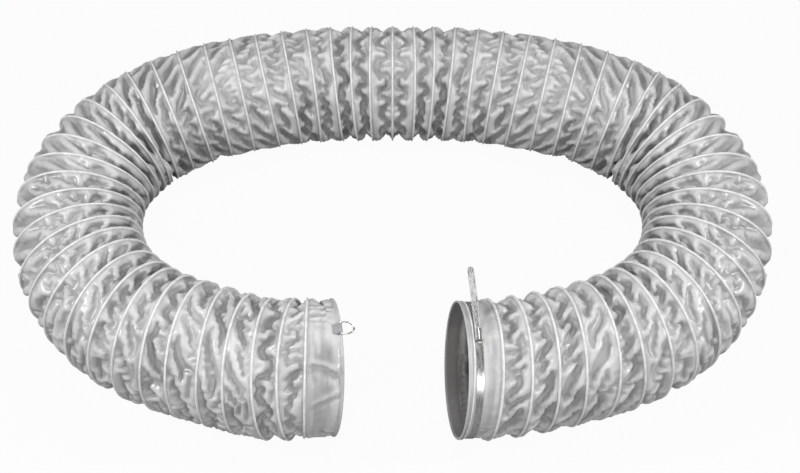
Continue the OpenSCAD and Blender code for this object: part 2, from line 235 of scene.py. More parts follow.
bandSteel = platedSteel("rolledZincPlatedStrip", "#C9C9C7", "#A9A9A8", 0.30, 0.004, (1.0, 0.2, 0.2))
screwSteel = platedSteel("nickelPlatedScrewSteel", "#D6D5D2", "#B4B3B0", 0.22, 0.003, (1.0, 1.0, 1.0))
ringChrome = platedSteel("nickelPlatedRingWire", "#DAD9D6", "#BDBCBA", 0.16, 0.004, (1.0, 1.0, 1.0))
wireSteel = platedSteel("drawnSpringSteelWire", "#8F9092", "#6F7072", 0.32, 0.003, (1.0, 1.0, 1.0))

webbingRib = 0.0016


def webbingMaterial():
    # Flat-woven polyester webbing, grey, matt, with ribs across the strap
    material, tree, shader = newMaterial("greyWovenPolyesterWebbing", "#9A9A9B", 0.75)
    clothUv = addNode(tree, "ShaderNodeUVMap", {"uv_map": "ClothUV"}).outputs["UV"]
    ribs = addNode(tree, "ShaderNodeTexWave", {"wave_type": "BANDS", "bands_direction": "Y"},
                   {"Scale": waveBand / webbingRib, "Distortion": 0.8, "Detail": 1.0}, {"Vector": clothUv})
    colour = colourRamp(tree, ribs.outputs["Fac"], [(0.2, "#7C7C7E"), (0.8, "#A9A9AA")])
    ribbed = addBump(tree, 0.5, 0.0004, ribs.outputs["Fac"])
    linkInputs(tree, shader, {"Base Color": colour, "Normal": ribbed})
    return material


strapMaterial = webbingMaterial()
print("materials made")


duct = {
    "pitch": 60.0, "ribs": [2.5, 5, 5, 5, 5, 5, 3, 2], "axisHeight": 154.9, "boreRadius": 150.0,
    "cuffRadius": 151.5, "bends": {-1: [3.5, 15, 33, 38, 31, 38, 2, 28], 1: [3.5, 15, 33, 38, 31, 38, 8, 8]},
    "cuffLength": {-1: 65.0, 1: 52.0}, "slope": {-1: -7.5, 1: 5.5}, "hemRadius": 2.35, "floorGap": 0.2,
}
sectionLengths = [ribs * duct["pitch"] for ribs in duct["ribs"]]
sectionStarts = np.concatenate([[0], np.cumsum(sectionLengths)])
halfLength = float(sectionStarts[-1])


def tracePath(side):
    # the heading grows evenly within each section, and the point moves along it in steps of 1 mm
    distance = np.arange(0, halfLength + 0.5, 1.0)
    corners = np.concatenate([[0], np.cumsum(duct["bends"][side])])
    heading = np.radians(np.interp(distance, sectionStarts, corners))
    middle = (heading[1:] + heading[:-1]) / 2
    x = np.concatenate([[0], np.cumsum(np.cos(middle))])
    y = np.concatenate([[0], np.cumsum(-np.sin(middle))])
    return distance, x, y, heading


paths = {side: tracePath(side) for side in (-1, 1)}
allY = np.concatenate([paths[side][2] for side in (-1, 1)])
shiftY = -(allY.max() + allY.min()) / 2


def pathAt(side, distance):
    # beyond the ends the line goes on straight
    s, x, y, heading = paths[side]
    inside = np.clip(distance, 0, halfLength)
    beyond = np.asarray(distance) - inside
    h = np.interp(inside, s, heading)
    px = np.interp(inside, s, x) + beyond * np.cos(h)
    py = np.interp(inside, s, y) - beyond * np.sin(h) + shiftY
    return px, py, h


def ringPoints(side, distance, radius, turn, lean, lift, angle):
    # middle + n * outward + (z + lift) * up + lean * sin(angle) * forward, with n = radius * cos(angle) and
    # z = radius * sin(angle) * cos(atan(lean / radius)), and the ring turned about the upright by turn
    # degrees from square to the path
    px, py, h = pathAt(side, distance)
    ringHeading = h + np.radians(turn)
    n = radius * np.cos(angle)
    z = radius * np.sin(angle) * np.cos(np.arctan2(lean, radius))
    along = lean * np.sin(angle)
    x = px + n * np.sin(ringHeading) + along * np.cos(ringHeading)
    y = py + n * np.cos(ringHeading) - along * np.sin(ringHeading)
    return np.stack([side * x, y, duct["axisHeight"] + lift + z], -1)


def rootHeight(side):
    # a mouth that faces down lifts the cuff's root, so that its hem just clears the floor
    slope = math.radians(duct["slope"][side])
    up, level = math.sin(slope), math.cos(slope)
    hemMiddle = duct["boreRadius"] + duct["hemRadius"]
    drop = (duct["cuffLength"][side] - duct["hemRadius"]) * up
    return max(duct["axisHeight"], duct["floorGap"] + hemMiddle * level + duct["hemRadius"] - drop)


def cuffAxes(side):
    # root point, direction out of the mouth, outward across it, and up across it
    px, py, h = pathAt(side, halfLength)
    slope = math.radians(duct["slope"][side])
    level = np.array([side * math.cos(h), -math.sin(h), 0.0])
    axis = level * math.cos(slope) + np.array([0, 0, math.sin(slope)])
    across = np.array([side * math.sin(h), math.cos(h), 0.0])
    upward = np.array([0, 0, math.cos(slope)]) - level * math.sin(slope)
    root = np.array([side * float(px), float(py), rootHeight(side)])
    return root, axis, across, upward


def cuffRing(side, along, radius, angle):
    # root + along * axis + radius * (cos(angle) * outward + sin(angle) * up)
    root, axis, across, upward = cuffAxes(side)
    return root + along * axis + radius * (np.cos(angle)[:, None] * across + np.sin(angle)[:, None] * upward)


# The turns of the covered wire: distance along the middle line, then turn, lean and lift as in ringPoints
sharedTurns = [
    (0, 0, 0, 0), (55.1, -2.6, 4.6, -1), (102.7, -2.7, 10.6, 0), (155, 0.5, 13, 1), (220, 0.8, 9, 1),
    (281, -0.5, 15, 0), (348.5, -2.5, 19, 0), (420, -4.3, 16, 0), (488, -9, 18, 0), (555, -13.2, 25, 0),
    (625, -16.8, 28, 0), (692, -18.2, 31, 1), (744.4, -15.6, 36.5, 0), (798.3, -11.3, 40.5, -1),
    (855.4, -7.7, 43.5, -1), (915, -4.2, 48, 0), (977, -1.5, 50, 0), (1048, -0.8, 45, 0), (1115, 3.5, 45, 0),
    (1181, 6, 44, 0), (1248.5, 9.5, 37, 0), (1310.8, 11, 32, 0), (1381, 10.3, 20, 0), (1455, 7.4, 6, 1),
    (1519, 5.3, 3, 1), (1571, 5.8, -1, 1), (1631, 3.8, -5, 1)]
endTurns = {
    -1: [(1687.5, 4, -10.5, 1), (1747, 8.5, -5, 1), (1811, 8, -12, 1.5), (1872, 1.8, -16.9, 3),
         (1923, -9.5, -13, 6), (1953, -7.5, 7, 6.5)],
    1: [(1692.7, 1.6, -22, 0), (1752, 5.5, -13.5, 0), (1815.3, 3.6, -19, 0), (1873.1, 1.8, -20, 0),
        (1932.4, 0.1, -20, 0)]}
turns = {side: sharedTurns + endTurns[side] for side in (-1, 1)}

# The cloth as a net: how it is laid from turn to turn, then how it settles, then what is put back on it
clothRun = {
    "columns": 240, "gapRows": 16, "length": 75.0, "narrowGap": 40.0, "narrowRows": 12, "ringRadius": 155.4,
    "endFrom": 1950.0, "endInset": 2.0, "around": 976.0, "slack": 1.12, "leastSquare": 500.0, "spread": 0.04,
    "spreadMost": 1.6, "spreadPatch": (8, 9), "cuffRow": 8.0, "floor": 0.9, "seed": 7, "cuffSeed": 7000,
    "steps": 60, "quickSteps": 30, "drag": 0.8, "gravity": 0.02, "hoop": 1.03, "shear": 0.35,
    "cuffSlack": {-1: 1.10, 1: 1.03}, "stays": [(2, 0.93, 0.6), (3, 0.80, 0.36)], "small": 0.6, "crisp": 0.6,
}
facetFolds = {
    "across": [17, 20, 24], "deepest": -0.80, "highest": 0.05, "alternate": 0.4, "second": 0.20, "warp": 0.45,
    "warpMost": 1.3, "warpPatch": 0.8, "sag": 0.10,
}
crumple = {
    "size": 60.0, "cover": 1.25, "slant": (0.35, 1.25), "shortest": 1.2, "longest": 3.2, "height": 14.0,
    "jitter": 3.0, "waverU": 5, "waverV": 6, "waverPatch": (6, 14), "pillow": 1.1, "smaller": 0.5,
    "mixMiddle": 0.35, "mix": 1.2, "mixPatch": (12, 26), "fine": 0.25, "share": 0.20, "edge": 8.0, "rim": 2.5,
    "edgeShare": 0.75, "outMost": 2.2,
}
angle = np.linspace(0, 2 * np.pi, clothRun["columns"], endpoint=False)


def patchNoise(random, rows, columns, rowSize, columnSize):
    # random values on a coarse grid, carried over to every point by smooth steps and closed round the columns
    coarse = random.normal(size=(int(rows / rowSize) + 3, max(3, int(columns / columnSize))))
    r = np.linspace(0, coarse.shape[0] - 1.001, rows)
    c = np.arange(columns) / columns * coarse.shape[1]
    r0, c0 = r.astype(int), c.astype(int)
    fr, fc = smooth(r - r0)[:, None], smooth(c - c0)[None]
    c1 = (c0 + 1) % coarse.shape[1]
    top = coarse[r0][:, c0] * (1 - fc) + coarse[r0][:, c1] * fc
    low = coarse[r0 + 1][:, c0] * (1 - fc) + coarse[r0 + 1][:, c1] * fc
    return top * (1 - fr) + low * fr


def troughs(random, u, v, length, size, height):
    # Folded cloth: at each point the lowest of many slanting troughs, which meet in sharp ridges. A trough
    # rises as height * ((b / half size)^2 + (a / (half size * stretch))^2), with a along it and b across.
    around = clothRun["around"]
    count = int(round(crumple["cover"] * (length + size) * around / size ** 2))
    seedU = random.uniform(-size / 2, length + size / 2, count)
    seedV = random.uniform(0, around, count)
    slant = random.choice([-1, 1], count) * random.uniform(*crumple["slant"], count)
    stretch = random.uniform(crumple["shortest"], crumple["longest"], count)
    lift = random.normal(0, crumple["jitter"] * size / crumple["size"], count)
    lowest = np.full(u.shape, 1e9)
    some = 40  # troughs at a time
    for start in range(0, count, some):
        s = slice(start, start + some)
        du = u[..., None] - seedU[s]
        dv = (v[..., None] - seedV[s] + around / 2) % around - around / 2
        a = du * np.cos(slant[s]) + dv * np.sin(slant[s])
        b = dv * np.cos(slant[s]) - du * np.sin(slant[s])
        rise = height * ((b / (size / 2)) ** 2 + (a / (size / 2 * stretch[s])) ** 2) + lift[s]
        lowest = np.minimum(lowest, rise.min(-1))
    return lowest - lowest.mean()


def crumpled(random, rows, length):
    # troughs with sharp ridges in some places, pillows with sharp valleys in others, smaller folds on both
    columns, size, height = clothRun["columns"], crumple["size"], crumple["height"]
    smaller, waver = crumple["smaller"], crumple["waverPatch"]
    u = (np.arange(rows) / rows * length)[:, None]
    u = u + crumple["waverU"] * patchNoise(random, rows, columns, *waver)
    v = (np.arange(columns) / columns * clothRun["around"])[None]
    v = v + crumple["waverV"] * patchNoise(random, rows, columns, *waver)
    sharp = troughs(random, u, v, length, size, height)
    pillow = -troughs(random, u, v, length, size * crumple["pillow"], height)
    small = troughs(random, u, v, length, size * smaller, height * smaller)
    patches = patchNoise(random, rows, columns, *crumple["mixPatch"])
    mix = smooth(crumple["mixMiddle"] + crumple["mix"] * patches)
    return sharp * (1 - mix) + pillow * mix + crumple["fine"] * small


def facets(random, rows, columns, bands, across, heights):
    # Heights at the corners of a warped lattice, bands along by across round, joined by flat triangles. Each
    # cell is cut along one diagonal or the other, as slack cloth buckles between two rings.
    t = (np.arange(rows) / rows)[:, None]
    warp, most = facetFolds["warp"], facetFolds["warpMost"]
    patch = (rows / 2, columns / across * facetFolds["warpPatch"])
    bend, twist = (patchNoise(random, rows, columns, *patch).clip(-most, most) for way in range(2))
    a = np.clip(bands * t + warp * bands * bend * t * (1 - t), 0, bands - 1e-6)
    b = across * (np.arange(columns) / columns)[None] + warp * twist
    i, j = np.floor(a).astype(int), np.floor(b).astype(int)
    fa, fb, j0, j1 = a - i, b - j, j % across, (j + 1) % across
    h00, h10, h01, h11 = heights[i, j0], heights[i + 1, j0], heights[i, j1], heights[i + 1, j1]
    nearCorner = h00 + fa * (h10 - h00) + fb * (h01 - h00)
    farCorner = h11 + (1 - fa) * (h01 - h11) + (1 - fb) * (h10 - h11)
    rising = np.where(fa + fb < 1, nearCorner, farCorner)
    alongFirst = h00 + fa * (h10 - h00) + fb * (h11 - h10)
    roundFirst = h00 + fb * (h01 - h00) + fa * (h11 - h01)
    falling = np.where(fa > fb, alongFirst, roundFirst)
    return np.where((random.random((bands, across)) < 0.5)[i, j0], rising, falling)


def buckled(random, rows):
    # one lattice of deep folds whose inner corners lie low and high by turns, and a finer one on it
    columns, settings = clothRun["columns"], facetFolds
    bands, across = random.choice([2, 3]), random.choice(settings["across"])
    heights = np.zeros((bands + 1, across))
    byTurns = (np.arange(across)[None] + np.arange(bands - 1)[:, None]) % 2
    level = random.random((bands - 1, across)) * (1 - settings["alternate"]) + settings["alternate"] * byTurns
    heights[1:-1] = settings["deepest"] + (settings["highest"] - settings["deepest"]) * level
    finer = np.zeros((2 * bands + 1, 2 * across))
    finer[1:-1] = random.uniform(-1, 1, (2 * bands - 1, 2 * across)) * settings["second"]
    deep = facets(random, rows, columns, bands, across, heights)
    return deep + facets(random, rows, columns, 2 * bands, 2 * across, finer)


def outwardOf(rows):
    # one long, away from the middle of each row
    outward = rows - rows.mean(1, keepdims=True)
    outward /= np.linalg.norm(outward, axis=2, keepdims=True)
    return outward


def heldIn(rise, most):
    # what stands out is pressed in to most * tanh(rise / most)
    return np.where(rise > 0, most * np.tanh(rise / most), rise)


def gapOfCloth(seed, rowA, rowB, rows):
    # Cloth of a fixed length from one turn of the wire to the next: sunk between them, buckled and crumpled.
    # With a gap g and a length l one fold stands sqrt(l^2 - g^2) / 2, which sets how deep the rest is.
    random = np.random.default_rng(seed)
    columns = clothRun["columns"]
    gap = np.linalg.norm(rowB - rowA, axis=1)
    length = clothRun["length"] * (rows / clothRun["gapRows"]) ** 2
    fold = np.sqrt(np.maximum(length ** 2 - gap ** 2, clothRun["leastSquare"])) / 2
    t = (np.arange(rows) / rows)[:, None]
    straight = rowA[None] + (rowB - rowA)[None] * t[..., None]
    near = np.minimum(t, 1 - t) * length
    edge = crumple["edgeShare"]
    window = edge * smooth(near / crumple["edge"]) + (1 - edge) * smooth(near / crumple["rim"])
    rise = fold * (buckled(random, rows) - facetFolds["sag"] * 4 * t * (1 - t))
    rise += crumple["share"] * crumpled(random, rows, length) * window
    rest = np.maximum(length, gap * clothRun["slack"]) / rows * np.ones((rows, 1))
    uneven, most = patchNoise(random, rows, columns, *clothRun["spreadPatch"]), clothRun["spreadMost"]
    rest *= 1 + clothRun["spread"] * np.clip(uneven, -most, most)
    return straight + outwardOf(straight) * heldIn(rise, crumple["outMost"])[..., None], rest


def settleCloth(start, held, rest, lastTurn, cuffSlack):
    # Cloth as a net of points: each step moves them on by a share of their last move and by gravity. Then
    # threads along, round and across pull them to their rest lengths, and longer stays push them apart, which
    # is the cloth's stiffness. Held rows stay, and nothing goes through the floor.
    rows, columns = start.shape[:2]
    x, before = start.copy(), start.copy()
    weight = np.where(held, 0.0, 1.0)[:, None, None] * np.ones((rows, columns, 1))
    along = float(rest.mean())
    # round the hose the cloth is a little longer than a turn, and round the cuff by a quarter of its slack
    ring = start[held][0]
    hoop = np.linalg.norm(np.roll(ring, -1, 0) - ring, axis=1).mean() * np.ones((rows, 1, 1))
    hoop[:lastTurn] *= clothRun["hoop"]
    hoop[lastTurn:] *= 1 + (cuffSlack - 1) / 4
    cross = np.sqrt(rest ** 2 + hoop[:-1, :, 0] ** 2)
    every, everyRow = np.arange(columns), np.arange(rows)
    right, shear = (every + 1) % columns, clothRun["shear"]
    columnSets = (np.arange(0, columns, 2), np.arange(1, columns, 2))
    rowSets = (np.arange(0, rows - 1, 2), np.arange(1, rows - 1, 2))

    def pull(rowsA, columnsA, rowsB, columnsB, length, share, pushOnly=False):
        a, b = (rowsA[:, None], columnsA[None]), (rowsB[:, None], columnsB[None])
        pa, pb, wa, wb = x[a], x[b], weight[a], weight[b]
        gap = pb - pa
        size = np.sqrt((gap * gap).sum(-1, keepdims=True)) + 1e-9
        error = (size - length) / size
        if pushOnly:
            error = np.minimum(error, 0)
        move = gap * (error * share / np.maximum(wa + wb, 1e-6))
        x[a] = pa + move * wa
        x[b] = pb - move * wb

    heldRows = np.flatnonzero(held)
    low = np.clip(np.searchsorted(heldRows, everyRow, "right") - 1, 0, len(heldRows) - 2)
    t = ((everyRow - heldRows[low]) / (heldRows[low + 1] - heldRows[low]))[:, None, None]
    straight = start[heldRows[low]] * (1 - t) + start[heldRows[low + 1]] * t
    outward = outwardOf(straight)
    for step in range(clothRun["steps"]):
        speed = (x - before) * clothRun["drag"]
        before = x.copy()
        x += (speed - np.array([0, 0, clothRun["gravity"]])) * weight
        for repeat in range(2):
            for r in rowSets:
                pull(r, every, r + 1, every, rest[r][..., None], 1.0)
            for c in columnSets:
                pull(everyRow, c, everyRow, (c + 1) % columns, hoop, 1.0)
            for r in rowSets:
                pull(r, every, r + 1, right, cross[r][..., None], shear)
                pull(r, right, r + 1, every, cross[r][..., None], shear)
        for reach, keep, share in clothRun["stays"]:
            for q in range(2 * reach):
                r, c = np.arange(q, rows - reach, 2 * reach), np.arange(q, columns, 2 * reach)
                pull(r, every, r + reach, every, along * reach * keep, share, True)
                pull(everyRow, c, everyRow, (c + reach) % columns, hoop * (reach * keep), share, True)
        # the turns hold the cloth in, so that it hardly stands out past the straight line between them
        past = ((x - straight) * outward).sum(-1, keepdims=True) - crumple["outMost"]
        x -= outward * np.maximum(past, 0)
        x[..., 2] = np.maximum(x[..., 2], clothRun["floor"])
        x[held] = start[held]
    return x


def cuffStops(side):
    # circles of the cuff that the cloth is laid through: (along the cuff, radius, depth of crumple before it)
    length = duct["cuffLength"][side]
    if side > 0:
        return [(18.0, 151.3, 0.6), (26.0, 151.2, 0.05), (34.0, 151.3, 0.05), (41.5, 151.5, 0.1),
                (length - 5.5, 151.6, 0.1)]
    return [(length - 10.5, 151.9, 1.0), (length - 9.0, 151.1, 0.0), (length - 7.5, 151.8, 0.0),
            (length - 5.5, 151.6, 0.0)]


cuffFolds = {"bands": 3, "across": 13, "deepest": -9.5, "highest": 1.5, "fine": 0.12, "outMost": 2.0}


def cuffCloth(random, circleA, circleB, gap, count, depth):
    # from one circle of the cuff to the next, with low facets where there is room for them
    t = (np.arange(count) / count)[:, None, None]
    cloth = circleA[None] * (1 - t) + circleB[None] * t
    if count <= 2:
        return cloth
    bands, across = cuffFolds["bands"], cuffFolds["across"]
    heights = np.zeros((bands + 1, across))
    heights[1:-1] = random.uniform(cuffFolds["deepest"], cuffFolds["highest"], (bands - 1, across))
    deep = facets(random, count, clothRun["columns"], bands, across, heights)
    rise = depth * (deep + cuffFolds["fine"] * crumpled(random, count, gap) * np.sin(np.pi * t[..., 0]))
    return cloth + outwardOf(cloth) * heldIn(rise, cuffFolds["outMost"])[..., None]


def between(grid):
    # twice as many points each way: around, 9/16 (a + b) - 1/16 (the next ones out), and new rows halfway
    rows, columns = grid.shape[:2]
    around = np.empty((rows, 2 * columns, 3))
    around[:, ::2] = grid
    around[:, 1::2] = (9 * (grid + np.roll(grid, -1, 1)) - np.roll(grid, 1, 1) - np.roll(grid, -2, 1)) / 16
    whole = np.empty((2 * rows - 1, 2 * columns, 3))
    whole[::2] = around
    whole[1::2] = (around[:-1] + around[1:]) / 2
    return whole


def turnCircle(side, distance, turn, lean, lift):
    # the turn at the left cuff's root is a little smaller
    inset = clothRun["endInset"] if distance > clothRun["endFrom"] else 0
    return ringPoints(side, distance, clothRun["ringRadius"] - inset, turn, lean, lift, angle)


def layHalf(side, firstTurn):
    # rows of points from turn to turn and on to the hem, and the row of each turn; row counts are even
    circles = [turnCircle(side, *place) for place in turns[side][firstTurn:]]
    rows, rests, turnRows = [], [], []
    for k, (circleA, circleB) in enumerate(zip(circles, circles[1:])):
        turnRows.append(len(rows))
        wide = np.linalg.norm(circleB.mean(0) - circleA.mean(0)) > clothRun["narrowGap"]
        count = clothRun["gapRows"] if wide else clothRun["narrowRows"]
        seed = clothRun["seed"] + 100 * (firstTurn + k) + (50 if side < 0 else 0)
        cloth, rest = gapOfCloth(seed, circleA, circleB, count)
        rows.extend(cloth)
        rests.extend(rest)
    turnRows.append(len(rows))
    held = list(turnRows)
    before, slack = circles[-1], clothRun["cuffSlack"][side]
    for k, (along, radius, depth) in enumerate(cuffStops(side)):
        circle = cuffRing(side, along, radius, angle)
        gap = float(np.linalg.norm(circle - before, axis=1).mean())
        count = 2 * max(1, int(round(gap / clothRun["cuffRow"])))
        random = np.random.default_rng(clothRun["seed"] + clothRun["cuffSeed"] + k + side)
        rows.extend(cuffCloth(random, before, circle, gap, count, depth))
        rests.extend(np.full((count, clothRun["columns"]), gap / count * slack))
        held.append(len(rows))
        before = circle
    rows.append(before)
    start = np.array(rows)
    start[..., 2] = np.maximum(start[..., 2], clothRun["floor"])
    # every second point is settled, the rest lie between them, and the small creases are put back
    threads = np.array(rests)
    threads = (threads[0::2] + threads[1::2])[:, ::2]
    isHeld = np.isin(np.arange(0, len(rows), 2), held)
    coarse = settleCloth(start[::2, ::2], isHeld, threads, turnRows[-1] // 2, slack)
    beside = (np.roll(coarse, 1, 1) + np.roll(coarse, -1, 1))[1:-1] / 4
    crisp = coarse.copy()
    crisp[1:-1] += clothRun["crisp"] * (coarse[1:-1] - beside - (coarse[2:] + coarse[:-2]) / 4)
    crisp[isHeld] = coarse[isHeld]
    return between(crisp) + clothRun["small"] * (start - between(start[::2, ::2])), turnRows


# (share of the way to the hem, degrees) at both ends, bow in degrees, depth and width in millimetres
cuffCreases = [
    ((0.0, 49), (0.95, 30), 5, 4.0, 8.0), ((0.1, 12), (0.8, 24), 1, 3.0, 7.0),
    ((0.4, -20), (1.0, -36), 2, 4.5, 8.0), ((0.1, 95), (0.9, 112), 3, 3.0, 8.0),
    ((0.0, 150), (0.8, 132), 2, 3.0, 8.0), ((0.0, 230), (0.7, 248), 2, 3.0, 8.0)]
creaseForm = {"ends": 0.3, "atEnds": 0.4, "root": 0.08, "hem": 0.1, "hemFrom": 0.86, "lip": 0.6, "lipAt": 1.5}
millimetresPerDegree = 2.65


def creaseCuff(grid, firstRow):
    # Long creases of the left cuff, each from one place to another, that fade out at their ends and the hem.
    # d mm from one the cloth goes depth * (lip * exp(-((d - lipAt * w) / w)^2) - exp(-(d / w)^2)).
    fading, atEnds = creaseForm["ends"], creaseForm["atEnds"]
    share = np.linspace(0, 1, len(grid) - firstRow)[:, None]
    rise = np.zeros((len(grid) - firstRow, grid.shape[1]))
    for start, end, bow, depth, width in cuffCreases:
        t = np.clip((share - start[0]) / (end[0] - start[0]), 0, 1)
        line = start[1] + (end[1] - start[1]) * t + bow * 4 * t * (1 - t)
        away = (np.degrees(angle)[None] - line + 180) % 360 - 180
        d = away * millimetresPerDegree
        fade = smooth((share - start[0]) / fading + atEnds) * smooth((end[0] - share) / fading + atEnds)
        fade = fade * smooth(share / creaseForm["root"])
        fade = fade * smooth((creaseForm["hemFrom"] - share) / creaseForm["hem"])
        lip = creaseForm["lip"] * np.exp(-((d - creaseForm["lipAt"] * width) / width) ** 2)
        rise += depth * fade * (lip - np.exp(-(d / width) ** 2))
    part = grid[firstRow:]
    grid[firstRow:] = part + outwardOf(part) * rise[..., None]


mirrorX = np.array([-1, 1, 1])
rightGrid, rightTurns = layHalf(1, 0)
leftEnd, leftEndTurns = layHalf(-1, len(sharedTurns) - 1)
creaseCuff(leftEnd, leftEndTurns[-1])
# the halves are mirror images up to the last shared turn
sharedRow = rightTurns[len(sharedTurns) - 1]
leftGrid = np.concatenate([rightGrid[:sharedRow] * mirrorX, leftEnd])
leftTurns = rightTurns[:len(sharedTurns) - 1] + [row + sharedRow for row in leftEndTurns]
print("cloth laid", rightGrid.shape, leftGrid.shape)


# The strips over the wire, in rows of cloth and millimetres, and the skin's thickness
piping = {
    "height": 4.0, "places": [-1, -0.66, -0.63, -0.52, -0.3, 0, 0.3, 0.52, 0.63, 0.66, 1], "reach": 0.66,
    "rowStep": 4.0, "own": 0.9, "floor": 0.3, "thick": 0.9, "thicker": 1.2, "uvRadius": 0.1555, "uvRow": 5.0,
}


def rowAt(grid, place):
    # straight between two rows of the cloth
    low = np.clip(np.floor(place).astype(int), 0, len(grid) - 2)
    f = (place - low)[:, None, None]
    return grid[low] * (1 - f) + grid[low + 1] * f


def normalsOf(grid):
    around = np.roll(grid, -1, 1) - np.roll(grid, 1, 1)
    n = np.cross(around, np.gradient(grid, axis=0))
    n /= np.linalg.norm(n, axis=2, keepdims=True) + 1e-9
    flip = np.sign((n * (grid - grid.mean(1, keepdims=True))).sum(-1).mean())
    return n * flip


# painted shading of the cloth's colour: the swing gives painted highlight on ridges and painted shade in
# creases, and the value close by a turn a painted shadow beside its raised strip
foldShade = {"level": 0.25, "swing": 0.10, "full": 0.8, "shadeBesideTurn": 0.12, "shadeBesideTurnRows": 0.8}


def foldsOf(grid, turnRows):
    # how far each point stands out from its neighbourhood, through a tanh: 0.25 is level, more a ridge and
    # less a crease, and less again close beside a turn. The value paints the cloth's colour: painted highlight
    # on ridges, painted shade in creases, and a painted shadow line beside each turn's raised strip
    distance = np.linalg.norm(grid - grid.mean(1, keepdims=True), axis=2)
    level = distance
    for reach in (1, 2):
        level = (level + np.roll(level, reach, 1) + np.roll(level, -reach, 1)) / 3
        ahead = np.concatenate([level[reach:], np.repeat(level[-1:], reach, 0)])
        behind = np.concatenate([np.repeat(level[:1], reach, 0), level[:-reach]])
        level = (level + ahead + behind) / 3
    near = np.abs(np.arange(len(grid))[:, None] - np.array(turnRows)[None]).min(1)[:, None]
    paintedRidgeAndCreaseShade = foldShade["swing"] * np.tanh((distance - level) / foldShade["full"]) * smooth((near - 1) / 2)
    # painted shadow beside each turn's raised strip
    shadeBesideTurn = foldShade["shadeBesideTurn"] * np.exp(-near / foldShade["shadeBesideTurnRows"])
    return np.clip(foldShade["level"] + paintedRidgeAndCreaseShade - shadeBesideTurn, 0, 0.5)


def pipedRows(grid, turnRows, first, last):
    # The rows from first to last, with extra rows at each turn that rise over the wire as a round strip:
    # height * sqrt(1 - (u / reach)^2) at u rows from the turn's middle
    near = {row + step for row in turnRows for step in (-1, 0, 1)}
    entries = [(float(row), 0.0, 0) for row in range(first, last + 1) if row not in near]
    for row in turnRows:
        for offset in piping["places"]:
            u = offset / piping["reach"]
            if first - 1e-6 <= row + offset <= last + 1e-6:
                height = piping["height"] * math.sqrt(max(0.0, 1 - u * u))
                entries.append((row + offset, height, 1 if abs(u) <= 1.001 else 0))
    entries.sort()
    places, heights, strip = (np.array([entry[k] for entry in entries]) for k in range(3))
    rows = rowAt(grid, places)
    for row in turnRows:
        # the strip itself keeps to the turn's own plane
        ring = grid[row]
        forward = np.cross(ring[0] - ring.mean(0), ring[len(ring) // 4] - ring.mean(0))
        forward /= np.linalg.norm(forward)
        onward = grid[min(row + 1, len(grid) - 1)].mean(0) - grid[max(row - 1, 0)].mean(0)
        for k in np.flatnonzero(np.abs(places - row) < piping["own"]):
            rows[k] = ring + forward * np.sign(forward @ onward) * (places[k] - row) * piping["rowStep"]
    rows = rows + outwardOf(rows) * heights[:, None, None]
    rows[..., 2] = np.maximum(rows[..., 2], piping["floor"])
    folds = rowAt(foldsOf(grid, turnRows)[..., None], places)[..., 0]
    return rows, strip, places, folds


def ductPiece(name, grid, turnRows, first, last, backwards=False, hemRows=None):
    # A closed shell: the outside forwards, a hem where there is one, and the inside back. Its faces are
    # cloth 0, strip 1 or inside 2, the inside being the cloth painted darker as shade. The right half is the
    # left one's mirror image, so its columns are taken backwards, and then the faces of both are turned alike
    # to point outwards.
    outer, strip, places, folds = pipedRows(grid, turnRows, first, last)
    normals = normalsOf(outer)
    inner = outer - normals * piping["thick"]
    inner[strip > 0] -= normals[strip > 0] * piping["thicker"]
    hemCount = 0 if hemRows is None else len(hemRows)
    whole = np.concatenate([outer] + ([hemRows] if hemCount else []) + [inner[::-1]])
    stripFaces = strip[:-1] * strip[1:]
    kinds = np.concatenate([stripFaces, [0] * (hemCount + 1), [2] * (len(inner) - 1), [0]])[:len(whole)]
    hemFolds = np.full((hemCount, folds.shape[1]), foldShade["level"])
    # on the inside the painted shade and highlight are turned over, its creases being the outside's ridges
    fold = np.concatenate([folds, hemFolds, 0.5 - folds[::-1]])
    u = angle * piping["uvRadius"]
    v = np.concatenate([places, [places[-1]] * hemCount, places[::-1]]) * piping["uvRow"] * millimetre
    if backwards:
        whole, fold = whole[:, ::-1], fold[:, ::-1]
    materials = [clothMaterial, coverMaterial, shadedInsideMaterial]
    return gridMesh(name, whole, materials, kinds, (u, v), fold=fold, turned=True)


def bendPiece(piece, firstRow, lastRow, wholeSpan):
    # the limits of a stretch clear of both end turns, where their own points allow it, are worked out but not
    # used; the piece is only baked in place
    start, end = firstRow.mean(0), lastRow.mean(0)
    unit = (end - start) / np.linalg.norm(end - start)
    low = max(0.0, float(((firstRow - start) @ unit).max()))
    high = min(0.0, float(((lastRow - end) @ unit).min()))
    if wholeSpan:
        # for a section that folds up and pulls out, of which nearly all would take part, the limits are drawn
        # in to a quarter
        low, high = low / 4, high / 4
    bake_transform(piece)


# the turns at which the sections of either half meet, the last one being the cuff's
cuts = [3, 7, 12, 17, 22, 26, 29, 31]


def buildHalf(side, grid, turnRows):
    word = "left" if side < 0 else "right"
    parts = ["1", "2", "3", "4", "5", "arm", "neck"]
    bodies = ["%s_%s" % (word, part) for part in parts]
    bodies = bodies + ["left_end"] if side < 0 else ["middle"] + bodies[:-1] + ["right_end"]
    for k, part in enumerate(parts):
        name = word + (part.capitalize() if part.isalpha() else "Section" + part) + "Fabric"
        first, last = turnRows[cuts[k]], turnRows[cuts[k + 1]]
        piece = ductPiece(name, grid, turnRows, first, last, backwards=side > 0)
        bendPiece(piece, grid[first], grid[last], part == "arm")
        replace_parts(piece, "hose_%s_%s" % (word, part))
    return turnRows[cuts[-1]]


rightCuffRow = buildHalf(1, rightGrid, rightTurns)
leftCuffRow = buildHalf(-1, leftGrid, leftTurns)
print("hose sections made")

